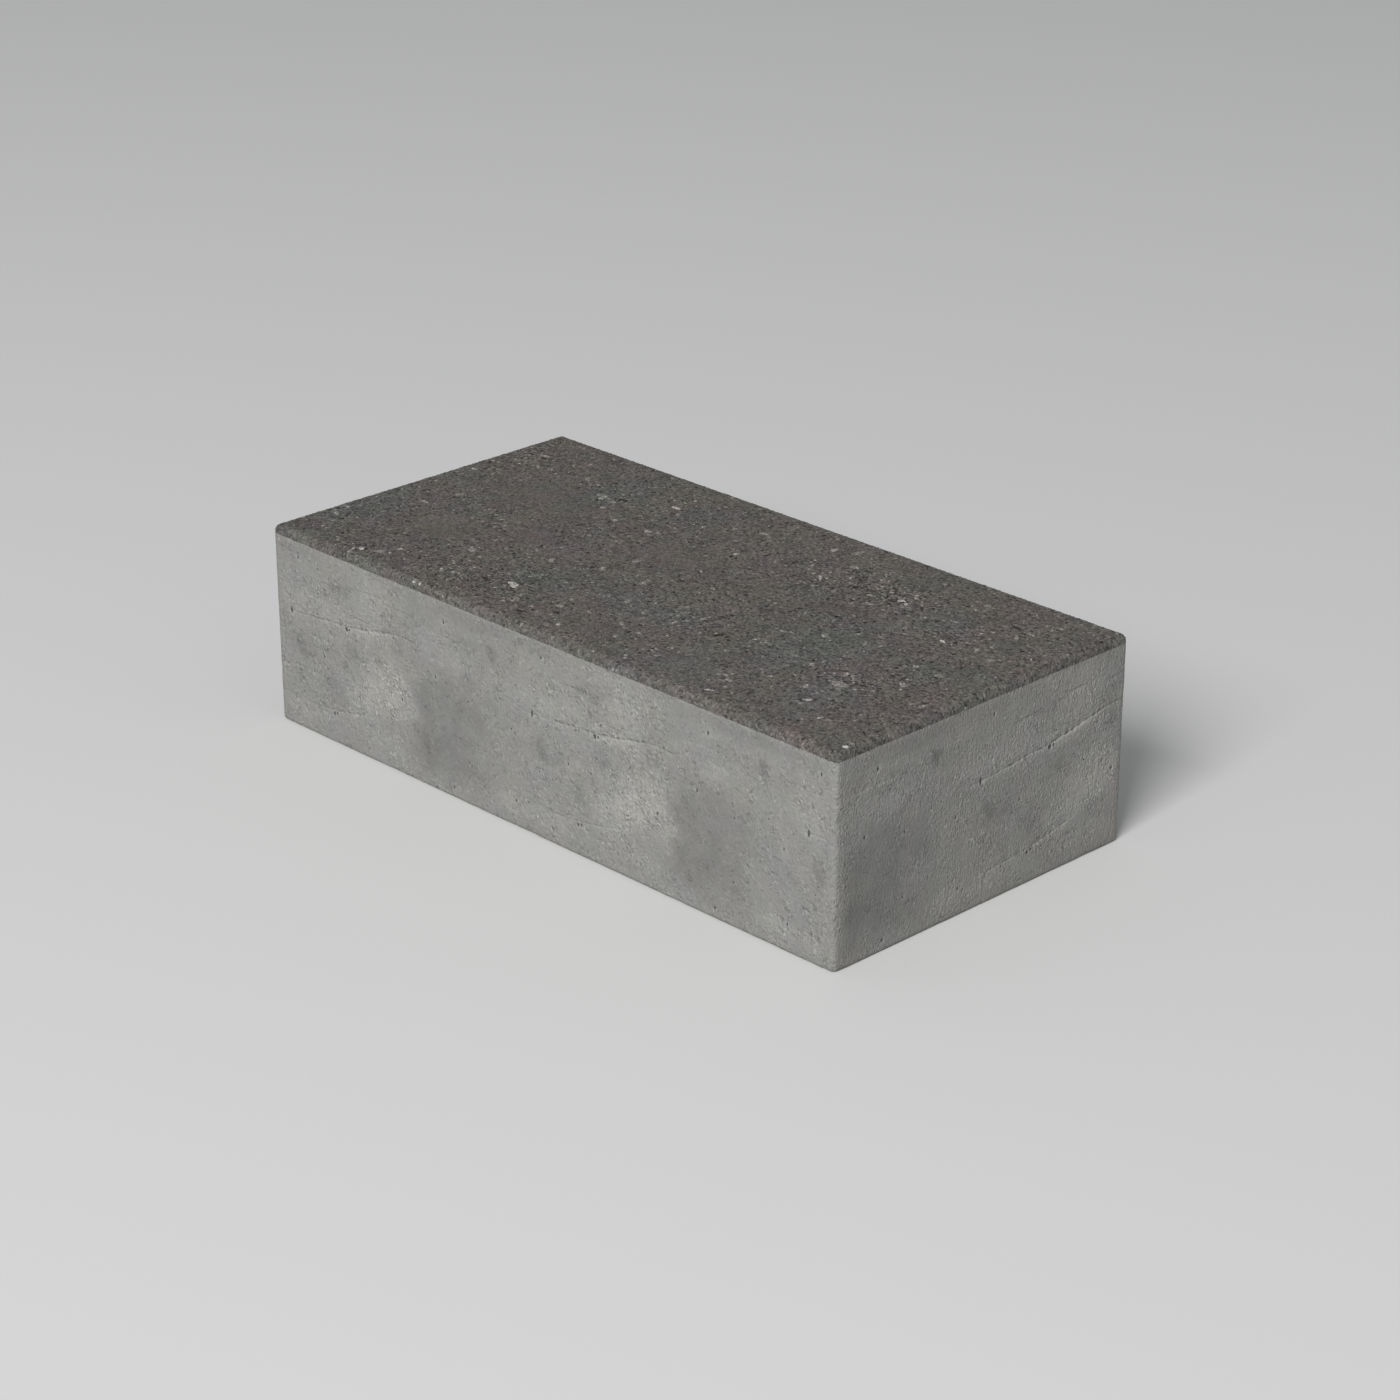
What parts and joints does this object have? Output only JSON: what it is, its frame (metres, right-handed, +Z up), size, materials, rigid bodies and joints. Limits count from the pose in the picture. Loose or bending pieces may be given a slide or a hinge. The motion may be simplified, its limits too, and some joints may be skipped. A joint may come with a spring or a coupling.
{
  "type": "concrete paving stone",
  "caption": "Rectangular concrete paving stone with rounded edges, a dark exposed-aggregate wearing face and smooth cast grey sides, laid flat to pave paths and drives.",
  "frame": {"origin": "middle of the bed face, on the ground", "axes": "+X along the length, +Y across the width, +Z up through the wearing face"},
  "size_m": [0.22, 0.11, 0.06],
  "materials": {
    "concrete": "matt cast concrete with fine pits on the sides and bed, dark brown-grey exposed aggregate on the wearing face"
  },
  "bodies": {
    "root": {"paving_stone": "concrete"}
  },
  "joints": []
}
